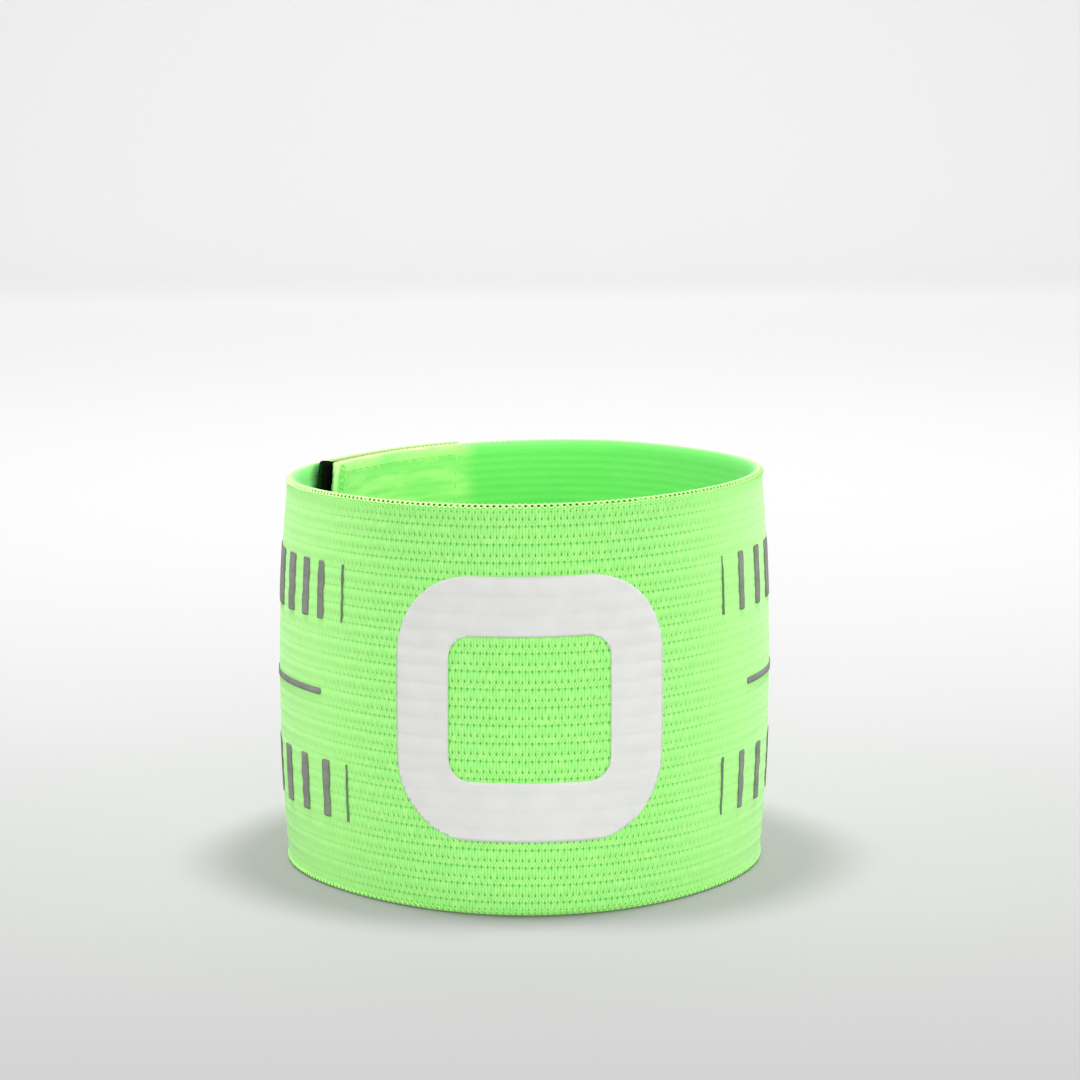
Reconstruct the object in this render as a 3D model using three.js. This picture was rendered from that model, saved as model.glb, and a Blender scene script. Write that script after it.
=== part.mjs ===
// Captain's armband: a ribbed elastic strip wound once round, its ends lapped on a hook pad and a loop
// pad, with a white film frame in front and grey film bars and dashes at the sides.
// Millimetres. +Z is up along the arm, -Y is the front, and the origin is in the middle of the lower rim.
import * as THREE from "three";
import { mergeVertices } from "three/addons/utils/BufferGeometryUtils.js";
import { TessellateModifier } from "three/addons/modifiers/TessellateModifier.js";

// The loop, measured over its outer face at mid height
const loopWidth = 86.8;
const loopDepth = 98.6;
const bandHeight = 70;
const loopTurn = 4.4; // degrees that the loop's long axis is turned

// Slow waves that take the loop off an ellipse: how many go round, their height as a share of the
// radius, and where one peaks, in degrees
const loopWaves = [
  { count: 3, share: -0.014, peak: 26.5 },
  { count: 4, share: 0.021, peak: 1.8 },
];

// The loop's size at its two rims, as shares of its size at mid height
const lowerRim = { wide: 0.967, deep: 0.968 };
const upperRim = { wide: 0.962, deep: 1.012 };
const leanBack = 1.45; // how far the upper rim sits behind the lower one
const leanRight = 0.45;
const rimRise = 1.25; // how much higher the upper rim is at its right than at its left

// The strip's wall and ribs
const wall = 1.4;
const ribPitch = 3.05;
const ribDepth = 0.25;
const grooveWidth = 1.2;
const edgeHeight = 1.4; // plain selvedge below the first rib
const edgeRound = 0.3;

// The lap, in degrees round the loop from its right side, as seen from above
const outerEnd = 106.6;
const lap = 50.6;
const stepRun = 40; // the turn in which the strip steps inwards to pass under its outer end
const stepClear = 6; // the turn left between that step and the outer end

// The closure's pads
const padWall = 0.7;
const padMargin = 0.3; // from the strip's upper and lower edges
const loopPadLength = 44;
const hookPadLength = 37;
const padInset = 1; // from the strip's ends
const padGap = 0.2;

// The film prints
const filmWall = 0.25;
const filmGap = 0.25;
const frameWidth = 48.5;
const frameHeight = 45.1;
const frameStroke = 10.2;
const frameCorner = 14;
const frameInnerCorner = 4;
const frameAside = 0.95; // how far the frame's centre is to the right of the loop's front line
const frameRaise = 0.45; // how far the frame's centre is above the strip's middle
const barGap = 14; // from the frame to the nearest bar
const barField = 39; // length of each group of bars
const dashWall = 1;
const dashGap = 22; // from the frame to a dash

// The bars of each side, nearest the front first: the near edge and the width, as shares of the bar field
const upperLeftBars = [
  { near: 0, wide: 0.02 },
  { near: 0.154, wide: 0.047 },
  { near: 0.288, wide: 0.057 },
  { near: 0.444, wide: 0.081 },
  { near: 0.624, wide: 0.122 },
  { near: 0.84, wide: 0.15 },
];
const lowerLeftBars = [
  { near: 0, wide: 0.02 },
  { near: 0.14, wide: 0.051 },
  { near: 0.328, wide: 0.063 },
  { near: 0.526, wide: 0.081 },
  { near: 0.755, wide: 0.122 },
  { near: 0.93, wide: 0.15 },
];
const upperRightBars = [
  { near: 0, wide: 0.02 },
  { near: 0.158, wide: 0.047 },
  { near: 0.344, wide: 0.066 },
  { near: 0.53, wide: 0.122 },
  { near: 0.8, wide: 0.15 },
];
const lowerRightBars = [
  { near: 0, wide: 0.02 },
  { near: 0.165, wide: 0.045 },
  { near: 0.364, wide: 0.06 },
  { near: 0.64, wide: 0.122 },
  { near: 0.88, wide: 0.15 },
];
// Each group of bars: its side, its row, its distance from the frame as a share of the bar gap
const barGroups = [
  { name: "upper_left", side: -1, row: 1, gap: 0.95, bars: upperLeftBars },
  { name: "lower_left", side: -1, row: -1, gap: 0.87, bars: lowerLeftBars },
  { name: "upper_right", side: 1, row: 1, gap: 1.13, bars: upperRightBars },
  { name: "lower_right", side: 1, row: -1, gap: 1.13, bars: lowerRightBars },
];
// Each dash: its side and its distance from the frame as a share of the dash gap
const dashes = [
  { name: "dash_left", side: -1, gap: 0.9 },
  { name: "dash_right", side: 1, gap: 1.127 },
];

// How finely the curved faces are cut
const facetLength = 6;
const facetHeight = 9;
const cornerSides = 4;
const splitPasses = 9;

const fullTurn = 360;
const frontTurn = 270;
const innerEnd = outerEnd + fullTurn + lap;
const frameMiddle = bandHeight / 2 + frameRaise;
// From the outer face of the outer layer to the outer face of the layer under it
const layerStep = wall + 2 * padWall + 3 * padGap;

const { degToRad, smoothstep } = THREE.MathUtils;

// Radius of the loop at mid height
function loopRadius(turn) {
  const angle = degToRad(turn - loopTurn);
  const across = Math.cos(angle) / (loopWidth / 2);
  const along = Math.sin(angle) / (loopDepth / 2);
  const waves = loopWaves.map((w) => w.share * Math.cos(w.count * degToRad(turn - w.peak)));
  return (1 + waves.reduce((sum, wave) => sum + wave)) / Math.hypot(across, along);
}

// How far the strip lies inside the loop's outline where it passes under its outer end
function trackInset(turn) {
  const stepEnd = outerEnd + fullTurn - stepClear;
  return layerStep * smoothstep(turn, stepEnd - stepRun, stepEnd);
}

// A point of the loop's outline at a height, before any inset
function outlinePoint(turn, height) {
  const share = height / bandHeight;
  const rim = share < 0.5 ? lowerRim : upperRim;
  const bulge = (2 * share - 1) ** 2;
  const radius = loopRadius(turn);
  return new THREE.Vector2(
    radius * Math.cos(degToRad(turn)) * (1 - (1 - rim.wide) * bulge) + leanRight * share,
    radius * Math.sin(degToRad(turn)) * (1 - (1 - rim.deep) * bulge) + leanBack * share,
  );
}

// A point of the strip: the turn round the loop, the height, and how far out of the outer face it lies
function stripPoint(turn, height, lift) {
  const nearby = 0.5;
  const tangent = outlinePoint(turn + nearby, height).sub(outlinePoint(turn - nearby, height));
  const outward = new THREE.Vector2(tangent.y, -tangent.x).normalize();
  const flat = outlinePoint(turn, height).addScaledVector(outward, lift - trackInset(turn));
  const rise = (rimRise / loopWidth) * flat.x * (height / bandHeight);
  return new THREE.Vector3(flat.x, flat.y, height + rise);
}

// The strip's length from its outer end to each whole step of the turn, along its outer face
function measureStrip() {
  const stepCount = Math.ceil(innerEnd - outerEnd);
  const marks = [{ turn: outerEnd, length: 0 }];
  for (let i = 1; i <= stepCount; i++) {
    const before = marks[i - 1];
    const turn = outerEnd + ((innerEnd - outerEnd) * i) / stepCount;
    const here = stripPoint(turn, bandHeight / 2, 0);
    const run = here.distanceTo(stripPoint(before.turn, bandHeight / 2, 0));
    marks.push({ turn, length: before.length + run });
  }
  return marks;
}

const stripMarks = measureStrip();
const stripLength = stripMarks.at(-1).length;

function between(value, from, to, low, high) {
  return low + ((high - low) * (value - from)) / (to - from);
}

function lengthAt(turn) {
  const next = stripMarks.find((mark) => mark.turn >= turn);
  const last = stripMarks[Math.max(stripMarks.indexOf(next) - 1, 0)];
  return next === last ? 0 : between(turn, last.turn, next.turn, last.length, next.length);
}

function turnAt(length) {
  const next = stripMarks.find((mark) => mark.length >= length) ?? stripMarks.at(-1);
  const last = stripMarks[Math.max(stripMarks.indexOf(next) - 1, 0)];
  return next === last ? next.turn : between(length, last.length, next.length, last.turn, next.turn);
}

const frontLength = lengthAt(frontTurn);

// Winds a flat piece on to the loop. Flat, x runs along the strip from its outer end, y is the height
// and z is how far out of the outer face a point lies.
function wind(flat) {
  flat.deleteAttribute("normal");
  flat.deleteAttribute("uv");
  const positions = flat.getAttribute("position");
  for (let i = 0; i < positions.count; i++) {
    const point = stripPoint(turnAt(positions.getX(i)), positions.getY(i), positions.getZ(i));
    positions.setXYZ(i, point.x, point.y, point.z);
  }
  const wound = mergeVertices(flat);
  wound.computeVertexNormals();
  return wound;
}

// A flat slab of the strip between two lengths and two heights, from one lift to another
function slab(fromLength, toLength, low, high, fromLift, toLift) {
  const long = toLength - fromLength;
  const tall = high - low;
  const thick = toLift - fromLift;
  const lengthwise = Math.ceil(long / facetLength);
  const upright = Math.ceil(tall / facetHeight);
  const box = new THREE.BoxGeometry(long, tall, thick, lengthwise, upright, 1);
  return box.translate(fromLength + long / 2, low + tall / 2, fromLift + thick / 2);
}

// The strip's cross-section: x is the depth below the ribs' crests, y the height
function stripSection() {
  const section = new THREE.Shape();
  section.moveTo(edgeRound, 0);
  section.lineTo(0, edgeRound);
  const ribCount = Math.floor((bandHeight - 2 * edgeHeight) / ribPitch);
  const firstGroove = (bandHeight - (ribCount - 1) * ribPitch) / 2;
  for (let i = 0; i < ribCount; i++) {
    const groove = firstGroove + i * ribPitch;
    section.lineTo(0, groove - grooveWidth / 2);
    section.lineTo(ribDepth, groove);
    section.lineTo(0, groove + grooveWidth / 2);
  }
  section.lineTo(0, bandHeight - edgeRound);
  section.lineTo(edgeRound, bandHeight);
  const rows = Math.ceil(bandHeight / facetHeight);
  for (let i = rows; i >= 0; i--) {
    section.lineTo(wall, (bandHeight * i) / rows);
  }
  section.closePath();
  return section;
}

function makeBand() {
  const flat = new THREE.ExtrudeGeometry(stripSection(), {
    depth: stripLength,
    steps: Math.ceil(stripLength / facetLength),
    bevelEnabled: false,
  });
  return wind(flat.rotateY(Math.PI / 2));
}

// A pad as tall as the strip, its outer face at a lift from the strip's outer face
function makePad(from, to, lift) {
  return wind(slab(from, to, padMargin, bandHeight - padMargin, lift - padWall, lift));
}

// The pad on the inner face of the strip's outer end
function makeLoopPad() {
  return makePad(padInset, padInset + loopPadLength, -wall - padGap);
}

// The pad on the outer face of the strip's inner end
function makeHookPad() {
  const to = stripLength - padInset;
  return makePad(to - hookPadLength, to, padGap + padWall);
}

// A rectangle with round corners about the origin, added to a shape or a hole
function roundedRectangle(path, wide, tall, round) {
  const corner = Math.min(round, wide / 2, tall / 2);
  const x = wide / 2 - corner;
  const y = tall / 2 - corner;
  path.absarc(x, y, corner, 0, Math.PI / 2);
  path.absarc(-x, y, corner, Math.PI / 2, Math.PI);
  path.absarc(-x, -y, corner, Math.PI, 1.5 * Math.PI);
  path.absarc(x, -y, corner, 1.5 * Math.PI, 2 * Math.PI);
  path.closePath();
  return path;
}

function makeFrontFrame() {
  const shape = roundedRectangle(new THREE.Shape(), frameWidth, frameHeight, frameCorner);
  const inner = [frameWidth - 2 * frameStroke, frameHeight - 2 * frameStroke, frameInnerCorner];
  shape.holes.push(roundedRectangle(new THREE.Path(), ...inner));
  const flat = new THREE.ExtrudeGeometry(shape, {
    depth: filmWall,
    bevelEnabled: false,
    curveSegments: cornerSides,
  });
  const fine = new TessellateModifier(facetLength, splitPasses).modify(flat);
  return wind(fine.translate(frontLength + frameAside, frameMiddle, filmGap));
}

// A film rectangle at one side of the frame: how far its near and far edges lie from the frame's edge
function sideFilm(side, near, far, low, high) {
  const frameEdge = frontLength + frameAside + (side * frameWidth) / 2;
  const ends = [frameEdge + side * near, frameEdge + side * far].sort((a, b) => a - b);
  return wind(slab(...ends, low, high, filmGap, filmGap + filmWall));
}

function makeBar(group, bar) {
  const near = barGap * group.gap + bar.near * barField;
  const middle = frameMiddle + (group.row * (frameHeight - frameStroke)) / 2;
  const far = near + bar.wide * barField;
  return sideFilm(group.side, near, far, middle - frameStroke / 2, middle + frameStroke / 2);
}

function makeDash(dash) {
  const near = dashGap * dash.gap;
  const far = barGap + barField;
  return sideFilm(dash.side, near, far, frameMiddle - dashWall / 2, frameMiddle + dashWall / 2);
}

const elastic = { color: 0xafff8c, roughness: 0.9, metalness: 0 };
const padBlack = { color: 0x060606, roughness: 1, metalness: 0 };
const whiteFilm = { color: 0xe0e0de, roughness: 0.55, metalness: 0 };
const greyFilm = { color: 0x8c8c87, roughness: 0.5, metalness: 0 };

function piece(name, geometry, finish) {
  const mesh = new THREE.Mesh(geometry, new THREE.MeshStandardMaterial(finish));
  mesh.name = name;
  return mesh;
}

const armband = new THREE.Group();
armband.add(
  piece("band", makeBand(), elastic),
  piece("loop_pad", makeLoopPad(), padBlack),
  piece("hook_pad", makeHookPad(), padBlack),
  piece("front_frame", makeFrontFrame(), whiteFilm),
);
for (const group of barGroups) {
  group.bars.forEach((bar, i) => {
    armband.add(piece(`bar_${group.name}_${i + 1}`, makeBar(group, bar), greyFilm));
  });
}
for (const dash of dashes) {
  armband.add(piece(dash.name, makeDash(dash), greyFilm));
}

// The origin goes to the middle of the part's footprint
const middle = new THREE.Box3().setFromObject(armband).getCenter(new THREE.Vector3());
armband.position.set(-middle.x, -middle.y, 0);

const part = new THREE.Group();
part.add(armband);

export default part;
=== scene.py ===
# %% [markdown]
# A captain's armband is a strip of knitted elastic, 70 mm tall, wound once round and closed on itself
# with a hook pad and a loop pad. This lesson dresses the solid model of one: it knits the ribs, chains the
# edges, presses on the film prints and raises the pads' pile. Everything is in metres, in the model's frame.

import math

import bmesh
import bpy
import numpy as np
from mathutils import Matrix, Vector


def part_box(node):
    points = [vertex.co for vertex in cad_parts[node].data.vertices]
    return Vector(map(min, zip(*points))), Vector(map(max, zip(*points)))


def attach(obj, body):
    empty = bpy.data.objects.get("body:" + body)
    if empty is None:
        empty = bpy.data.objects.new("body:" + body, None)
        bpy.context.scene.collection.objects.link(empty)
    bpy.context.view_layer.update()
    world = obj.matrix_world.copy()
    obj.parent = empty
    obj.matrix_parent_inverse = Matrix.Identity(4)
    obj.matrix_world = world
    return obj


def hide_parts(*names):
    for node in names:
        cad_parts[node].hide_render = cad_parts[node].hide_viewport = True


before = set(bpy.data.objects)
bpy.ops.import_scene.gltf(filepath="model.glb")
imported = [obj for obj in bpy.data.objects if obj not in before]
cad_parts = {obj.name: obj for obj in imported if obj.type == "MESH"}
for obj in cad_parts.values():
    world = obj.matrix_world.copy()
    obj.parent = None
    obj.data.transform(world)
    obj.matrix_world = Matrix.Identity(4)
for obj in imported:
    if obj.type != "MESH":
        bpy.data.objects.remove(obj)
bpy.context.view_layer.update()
scene = bpy.context.scene
mm = 0.001

# %% [markdown]
# The strip follows one outline. Seen from above it is nearly an ellipse that is a little pointed in front,
# and both rims are drawn in, as elastic does. These sizes are the ones that the solid model was made from,
# so that the knitted strip lies where the solid strip does. They are written as real sizes, in millimetres.

# %% The loop's sizes
strip_height = 70 * mm
loop_width = 86.8 * mm
loop_depth = 98.6 * mm
loop_turn = math.radians(4.4)
loop_waves = [
    {"count": 3, "share": -0.014, "peak": math.radians(26.5)},
    {"count": 4, "share": 0.021, "peak": math.radians(1.8)},
]
lower_rim = {"wide": 0.967, "deep": 0.968}
upper_rim = {"wide": 0.962, "deep": 1.012}
lean_back = 1.45 * mm
lean_right = 0.45 * mm
rim_rise = 1.25 * mm

wall = 1.4 * mm
pad_wall = 0.7 * mm
pad_gap = 0.2 * mm
layer_step = wall + 2 * pad_wall + 3 * pad_gap
outer_end = math.radians(106.6)
lap = math.radians(50.6)
step_run = math.radians(40)
step_clear = math.radians(6)
full_turn = 2 * math.pi
front_turn = 1.5 * math.pi
inner_end = outer_end + full_turn + lap


# %% [markdown]
# A piece is easiest to make flat, as the strip lies on the sewing table: x along the strip from its outer
# end, y the height, z how far it stands out of the outer face. Winding then carries each point on to the
# loop. It could be a Curve modifier, but that turns the section by its own rule, and a formula on the points
# keeps it upright and lets the strip step inwards under its own end.

# %% Wind a flat point on to the loop
def outline_point(turn, height):
    """The loop's outline at a height, before the strip's inward step."""
    across = np.cos(turn - loop_turn) / (loop_width / 2)
    along = np.sin(turn - loop_turn) / (loop_depth / 2)
    waves = sum(w["share"] * np.cos(w["count"] * (turn - w["peak"])) for w in loop_waves)
    radius = (1 + waves) / np.hypot(across, along)
    share = height / strip_height
    bulge = (2 * share - 1) ** 2
    lower = share < 0.5
    wide = 1 - (1 - np.where(lower, lower_rim["wide"], upper_rim["wide"])) * bulge
    deep = 1 - (1 - np.where(lower, lower_rim["deep"], upper_rim["deep"])) * bulge
    x = radius * np.cos(turn) * wide + lean_right * share
    y = radius * np.sin(turn) * deep + lean_back * share
    return x, y


def track_inset(turn):
    """How far the strip lies inside the outline where it passes under its outer end."""
    step_end = outer_end + full_turn - step_clear
    share = np.clip((turn - step_end) / step_run + 1, 0, 1)
    return layer_step * share * share * (3 - 2 * share)


def strip_point(turn, height, lift):
    nearby = math.radians(0.5)
    ahead_x, ahead_y = outline_point(turn + nearby, height)
    behind_x, behind_y = outline_point(turn - nearby, height)
    out_x, out_y = ahead_y - behind_y, behind_x - ahead_x
    reach = (lift - track_inset(turn)) / np.hypot(out_x, out_y)
    x, y = outline_point(turn, height)
    x, y = x + out_x * reach, y + out_y * reach
    z = height + rim_rise / loop_width * x * height / strip_height
    return np.stack([x, y, z], axis=-1)


# %% [markdown]
# The strip is measured along its middle line, as a tape laid on it would. Places on the flat strip and turns
# round the loop can then be read off each other, which keeps every stitch equally wide. The loop is moved a
# little at last, so that its box lies where the solid strip's box does.

# %% Measure the strip
turns = np.linspace(outer_end, inner_end, math.ceil(math.degrees(inner_end - outer_end)) + 1)
middle_line = strip_point(turns, strip_height / 2, 0)
runs = np.linalg.norm(np.diff(middle_line, axis=0), axis=1)
lengths = np.concatenate([[0], np.cumsum(runs)])
strip_length = lengths[-1]


def length_at(turn):
    return float(np.interp(turn, turns, lengths))


lap_length = length_at(outer_end + lap)


def wound(points):
    """Flat points (along, height, lift) as points of the loop, about the model's own origin."""
    turn = np.interp(points[:, 0], lengths, turns)
    return strip_point(turn, points[:, 1], points[:, 2]) + plan_shift


# The solid strip is cut into flat facets, so its box is compared at the same stations
facet_length = 6 * mm
stations = np.linspace(0, strip_length, math.ceil(strip_length / facet_length) + 1)
plan_shift = np.zeros(3)
own = wound(np.column_stack([stations, np.full_like(stations, strip_height / 2), stations * 0]))
band_low, band_high = (np.array(corner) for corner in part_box("band"))
plan_shift[:2] = ((band_low + band_high) / 2 - (own.min(axis=0) + own.max(axis=0)) / 2)[:2]
print("strip length, mm:", round(strip_length / mm, 1), "shift, mm:", (plan_shift / mm).round(3))

# %% [markdown]
# The camera stands about half a metre in front and looks down by eight degrees with a long lens. Its place
# was found from the outlines of both rims in the photograph, so the loop looks as round here as it does
# there.

# %% Camera
camera_place = Vector((3.1, -564.2, 137.2)) * mm + Vector(plan_shift)
camera_pitch = 0.1408
camera_roll = 0.006
camera_data = bpy.data.cameras.new("camera")
camera_data.lens = 104.93
camera_data.sensor_width = 36
camera = bpy.data.objects.new("camera", camera_data)
scene.collection.objects.link(camera)
aim = Matrix.Rotation(math.pi / 2 - camera_pitch, 4, "X") @ Matrix.Rotation(-camera_roll, 4, "Z")
camera.matrix_world = Matrix.Translation(camera_place) @ aim
scene.camera = camera
scene.view_settings.view_transform = "Standard"

# %% [markdown]
# The knit is what makes this strip look like elastic. Each stitch column, a wale, is 1.1 mm wide. Rubber
# cords lie in the strip, and between them the knit pulls two rows of small pits, the upper row half a
# stitch beside the lower one. The cloth between two cords is a low rib. A displacement texture could raise
# this, but only on millions of faces. Here a grid has a column at each half stitch and rows just where the
# pits and crests are, so that few faces hold the true relief. The knit is open in front, for open_until
# stitches to each side of the middle, and it is shut from shut_from stitches on.

# %% Sizes of the knit
wale_count = round(strip_length / (1.11 * mm))
wale = strip_length / wale_count
rib_pitch = 3.05 * mm
rib_count = 22
first_row = 2.3 * mm
pair_gap = 1.12 * mm
pair_share = pair_gap / rib_pitch
rib_height = 0.14 * mm
narrow_height = 0.05 * mm
pit_depth = 0.27 * mm
tail_depth = 0.08 * mm
shut_depth = 0.2
shut_relief = 0.45
open_until = 17
shut_from = 43
lowest_pits = 1.0 * mm
highest_pits = 68.75 * mm
front_stitch = length_at(front_turn) / wale
rng = np.random.default_rng(7)
print("stitches along the strip:", wale_count)


# %% [markdown]
# Two things decide the relief. The height says whether a point lies on a rib or in a groove, and the stitch
# says how far the knit is pulled open there. Short functions say this once, for the strip, for its finish
# and for the films that are pressed on it.

# %% Relief of the outer face
def rib_lift(height):
    """Lift of the ribs: crests at 0, pit rows lowest."""
    share = ((height - first_row) / rib_pitch) % 1
    in_rib = share > pair_share
    along = np.where(in_rib, (share - pair_share) / (1 - pair_share), share / pair_share)
    return np.where(in_rib, rib_height, narrow_height) * np.sin(math.pi * along) - rib_height


def openness(stitch):
    """How open the knit is: 1 where the front is stretched over the arm, less at the sides and back."""
    share = np.clip((np.abs(stitch - front_stitch) - open_until) / (shut_from - open_until), 0, 1)
    return 1 - (1 - shut_depth) * share


def relief(stitch):
    """How high the ribs stand: lower where the knit is shut."""
    return shut_relief + (1 - shut_relief) * openness(stitch)


def slow_wave(along, spacing, size):
    """A smooth seeded wander along the strip."""
    knots = np.arange(0, strip_length + 2 * spacing, spacing)
    return np.interp(along, knots, rng.normal(0, size, len(knots)))


# %% [markdown]
# The section is a list of rows round the strip: up the outer face, over the upper rim, down the inner face
# and under the lower rim. Each outer row also says which pits it holds. Evenly spaced rows would be simpler,
# but three times as many would be needed to catch every pit.

# %% Rows of the strip's section
edge_row = 0.3 * mm
lowest_rise = 1.6 * mm
tail_share = 0.28
inner_valley = 0.09 * mm
rim_profile = [
    {"across": 0.22, "down": 0.05 * mm},
    {"across": 0.5, "down": 0.0 * mm},
    {"across": 0.78, "down": 0.05 * mm},
]


def outer_rows():
    """Height and pit kind of each row of the outer face: 0 none, 1 or 2 a pit row, 3 or 4 its tail."""
    rows = [(edge_row, 0), (lowest_pits, 2), (lowest_rise, 0)]
    for i in range(rib_count):
        lower = first_row + i * rib_pitch
        upper = lower + pair_gap
        tail = (rib_pitch - pair_gap) * tail_share
        rows += [(lower, 1), (lower + pair_gap / 2, 0), (upper, 2), (upper + tail, 4)]
        rows.append((lower + rib_pitch - tail, 3))
    rows[-1] = (highest_pits, 1)
    return rows + [(strip_height - edge_row, 0)]


def inner_rows():
    """Heights and lifts of the inner face, from the upper rim down: one crest and one valley a rib."""
    heights = np.linspace(strip_height - edge_row, edge_row, 2 * rib_count + 1)
    return [(height, -wall + inner_valley * (i % 2)) for i, height in enumerate(heights)]


def rim_rows(upper):
    """The rounded rim between the two faces, from the outer face inwards."""
    if upper:
        return [(strip_height - row["down"], -wall * row["across"]) for row in rim_profile]
    return [(row["down"], -wall * row["across"]) for row in reversed(rim_profile)]


# %% [markdown]
# One grid makes the whole strip: a column for each half stitch and a row for each row of the section. Its
# points are then moved. Pits and their tails sink, and the rest wanders a little, as yarn does. The two cut
# ends are kept straight, so that each of them can be closed with one face.

# %% Knit the strip flat
rim_band = 0.5 * mm
pit_spread = {"low": 0.7, "high": 1.3}
yarn_lift = 0.012 * mm
yarn_drift = 0.03 * mm
sway_spacing = 9 * mm
sway_size = 0.05 * mm


def knit_strip():
    """A flat grid, with the height, lift and pit kind of its rows."""
    section = [(height, float(rib_lift(height)), kind) for height, kind in outer_rows()]
    section += [(height, lift, 0) for height, lift in rim_rows(True) + inner_rows() + rim_rows(False)]
    section.append(section[0])
    rows = np.array(section)
    columns = 2 * wale_count
    flat = bmesh.new()
    bmesh.ops.create_grid(flat, x_segments=columns, y_segments=len(rows) - 1, size=0.5)
    mesh = bpy.data.meshes.new("band_knit")
    flat.to_mesh(mesh)
    flat.free()
    return mesh, rows, columns


def lay_out(mesh, rows, columns):
    """Moves the grid's points to their column, height and lift."""
    place = np.empty(len(mesh.vertices) * 3)
    mesh.vertices.foreach_get("co", place)
    place = place.reshape(-1, 3)
    column = np.rint((place[:, 0] + 0.5) * columns).astype(int)
    row = np.rint((place[:, 1] + 0.5) * (len(rows) - 1)).astype(int)
    height, lift, kind = rows[row].T
    odd = column % 2 == 1
    pitted = ((kind == 1) & odd) | ((kind == 2) & ~odd)
    tailed = ((kind == 3) & odd) | ((kind == 4) & ~odd)
    depth = pit_depth * rng.uniform(pit_spread["low"], pit_spread["high"], len(place))
    pull = openness(column / 2)
    lift = lift * np.where(lift > -wall / 2, relief(column / 2), 1)
    lift = lift - np.where(pitted, depth, 0) * pull - np.where(tailed, tail_depth, 0) * pull
    on_face = (lift > -wall / 2) & (height > rim_band) & (height < strip_height - rim_band)
    cut_end = (column < 2) | (column > columns - 2)
    lift = np.where(cut_end, rows[row, 1], lift)
    loose = np.where(on_face & ~cut_end, rng.normal(0, yarn_lift, len(place)), 0)
    along = column * wale / 2 + np.where(on_face & ~cut_end, rng.normal(0, yarn_drift, len(place)), 0)
    sway = slow_wave(column * wale / 2, sway_spacing, sway_size) * np.sin(math.pi * height / strip_height)
    points = np.column_stack([along, height + sway, lift + loose])
    points[column == 0, 0] = 0
    points[column == columns, 0] = strip_length
    mesh.vertices.foreach_set("co", points.ravel())


# %% [markdown]
# Every piece goes through the same last steps. The flat mesh keeps its own place as an attribute, counted
# in stitches and ribs, so that a material can follow the knit round the loop. Then it is wound and given
# to the body that it moves with and its material, and the solid that it stands for is hidden.

# %% Finish a piece
merge_gap = 0.001 * mm


def mesh_points(mesh):
    points = np.empty(len(mesh.vertices) * 3)
    mesh.vertices.foreach_get("co", points)
    return points.reshape(-1, 3)


def wind_mesh(mesh):
    """Stores each point's stitch, rib and depth, then winds the mesh on to the loop."""
    flat = mesh_points(mesh)
    knit = np.column_stack([flat[:, 0] / wale, (flat[:, 1] - first_row) / rib_pitch, -flat[:, 2] / wall])
    mesh.attributes.new("knit", "FLOAT_VECTOR", "POINT").data.foreach_set("vector", knit.ravel())
    mesh.vertices.foreach_set("co", wound(flat).ravel())
    mesh.update()


def closed(bm):
    """Merges doubles and turns the faces of a closed flat piece outwards."""
    bmesh.ops.remove_doubles(bm, verts=bm.verts, dist=merge_gap)
    bmesh.ops.recalc_face_normals(bm, faces=bm.faces)


def add_piece(name, mesh, material, nodes=()):
    piece = bpy.data.objects.new(name, mesh)
    scene.collection.objects.link(piece)
    mesh.materials.append(material)
    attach(piece, "root")
    if nodes:
        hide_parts(*nodes)
    print(name, len(mesh.polygons), "faces")
    return piece


def finish_flat(name, bm, material, nodes=()):
    closed(bm)
    mesh = bpy.data.meshes.new(name)
    bm.to_mesh(mesh)
    bm.free()
    mesh.shade_smooth()
    wind_mesh(mesh)
    return add_piece(name, mesh, material, nodes)


# %% [markdown]
# Shader maths is easier to read as sums than as boxes and wires. A Signal wraps one socket and overloads
# the operators, and a Finish adds the nodes. Only sockets that can be baked are ever linked: everything
# that is the same all over is set on the shader itself.

# %% Shader maths as expressions
class Signal:
    """One output socket, so that an expression on it adds its Math nodes."""

    def __init__(self, finish, socket):
        self.finish = finish
        self.socket = socket

    def math(self, operation, *others):
        return self.finish.add("ShaderNodeMath", {"operation": operation}, self, *others)

    def __add__(self, other):
        return self.math("ADD", other)

    __radd__ = __add__

    def __mul__(self, other):
        return self.math("MULTIPLY", other)

    __rmul__ = __mul__

    def __sub__(self, other):
        return self.math("SUBTRACT", other)

    def __rsub__(self, other):
        return self.finish.add("ShaderNodeMath", {"operation": "SUBTRACT"}, other, self)

    def __truediv__(self, other):
        return self.math("DIVIDE", other)

    def fraction(self):
        return self.math("FRACT")

    def size(self):
        return self.math("ABSOLUTE")

    def above(self, low):
        return self.math("MAXIMUM", low)

    def step(self, low, high):
        """0 below low, 1 above high, and smooth between. low may be the larger one."""
        return self.finish.add("ShaderNodeMapRange", {"interpolation_type": "SMOOTHSTEP"}, self, low, high)


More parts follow.
